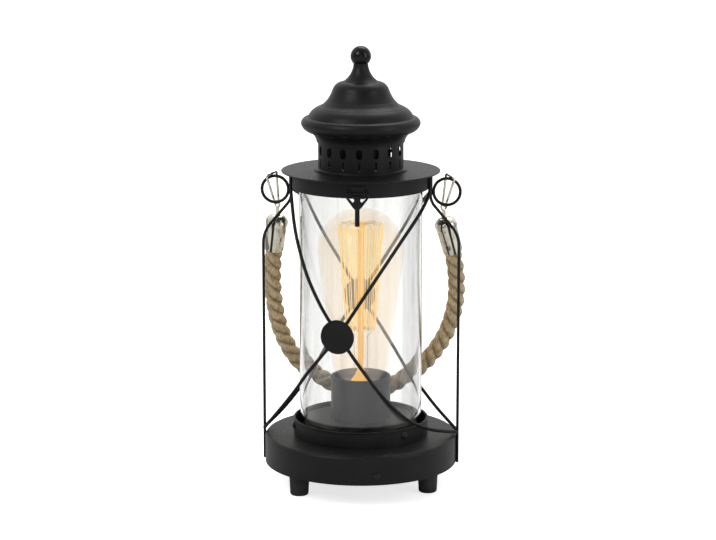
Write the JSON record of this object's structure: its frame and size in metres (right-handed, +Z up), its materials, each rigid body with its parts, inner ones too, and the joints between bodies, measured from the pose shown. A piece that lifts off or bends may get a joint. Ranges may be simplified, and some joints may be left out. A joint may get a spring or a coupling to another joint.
{
  "type": "lantern table lamp",
  "caption": "Storm-lantern style table lamp: round base, glass cylinder in a wire cage, filament bulb, hinged ventilated roof and a rope handle.",
  "frame": {"origin": "centre of the bounding box on the plane that the feet stand on, without the rope", "axes": "+Z up, the lamp's height; the latch faces -Y, the lid's hinge and the cable inlet are at +Y, the wire uprights stand at +X and -X"},
  "size_m": [0.1491, 0.1416, 0.3225],
  "materials": {
    "black_enamel": "matte",
    "anthracite_enamel": "matte",
    "dark_steel": "satin",
    "zinc_steel": "satin",
    "black_screws": "satin",
    "warm_nickel": "satin",
    "jute": "coarse twisted fibre",
    "clear_glass": "clear",
    "bulb_glass": "clear, faint amber",
    "cap_metal": "bright",
    "contact_brass": "bright",
    "dark_insulator": "gloss",
    "filament": "glowing wire",
    "black_rubber": "matte",
    "holder_plastic": "gloss",
    "terminal_plastic": "matte",
    "lead_sleeve": "matte"
  },
  "bodies": {
    "lamp": {"base_drum": "black_enamel", "base_plate": "black_enamel", "feet": "black_rubber", "foot_screws": "zinc_steel", "side_screws": "black_screws", "cable_grommet": "black_rubber", "terminal_block": "terminal_plastic", "inner_leads": "lead_sleeve", "glass_collar": "black_enamel", "collar_screws": "black_screws", "seat_plate": "anthracite_enamel", "nipple_spacer": "zinc_steel", "threaded_nipple": "zinc_steel", "nipple_nut": "zinc_steel", "holder_cover": "anthracite_enamel", "lamp_holder": "holder_plastic", "thread_shell": "cap_metal", "centre_contact": "contact_brass", "glass_cylinder": "clear_glass", "bulb_glass": "bulb_glass", "bulb_cap": "cap_metal", "bulb_insulator": "dark_insulator", "bulb_contact": "contact_brass", "bulb_stem": "bulb_glass", "bulb_filament": "filament", "filament_supports": "filament", "cap_skirt": "black_enamel", "left_upright": "black_enamel", "right_upright": "black_enamel", "left_ring": "black_enamel", "right_ring": "black_enamel", "front_wire_falling": "black_enamel", "front_wire_rising": "black_enamel", "rear_wire_falling": "black_enamel", "rear_wire_rising": "black_enamel", "front_disc": "black_enamel", "rear_disc": "black_enamel", "latch_bracket": "black_enamel", "latch_pin": "dark_steel", "skirt_hinge_leaf": "black_enamel", "hinge_pin": "dark_steel"},
    "latch": {"latch_lever": "dark_steel"},
    "lid": {"lid_disc": "black_enamel", "vent_gallery": "black_enamel", "roof_cap": "black_enamel", "roof_crown": "black_enamel", "finial_ball": "black_enamel", "finial_stud": "zinc_steel", "finial_nut": "zinc_steel", "lid_hinge_leaf": "black_enamel"},
    "handle": {"left_link": "warm_nickel", "right_link": "warm_nickel", "left_eye": "warm_nickel", "right_eye": "warm_nickel", "left_ferrule": "warm_nickel", "right_ferrule": "warm_nickel", "rope": "jute"}
  },
  "joints": [
    {"name": "handle_swing", "type": "hinge", "parent": "lamp", "child": "handle", "pos_m": [0, 0, 0.2275], "axis": [1, 0, 0], "range_deg": [0, 325.6]},
    {"name": "lid_hinge", "type": "hinge", "parent": "lamp", "child": "lid", "pos_m": [0, 0.0517, 0.2304], "axis": [-1, 0, 0], "range_deg": [0, 100]},
    {"name": "latch_swing", "type": "hinge", "parent": "lamp", "child": "latch", "pos_m": [0.0024, -0.0513, 0.2242], "axis": [-1, 0, 0], "range_deg": [0, 95]}
  ]
}
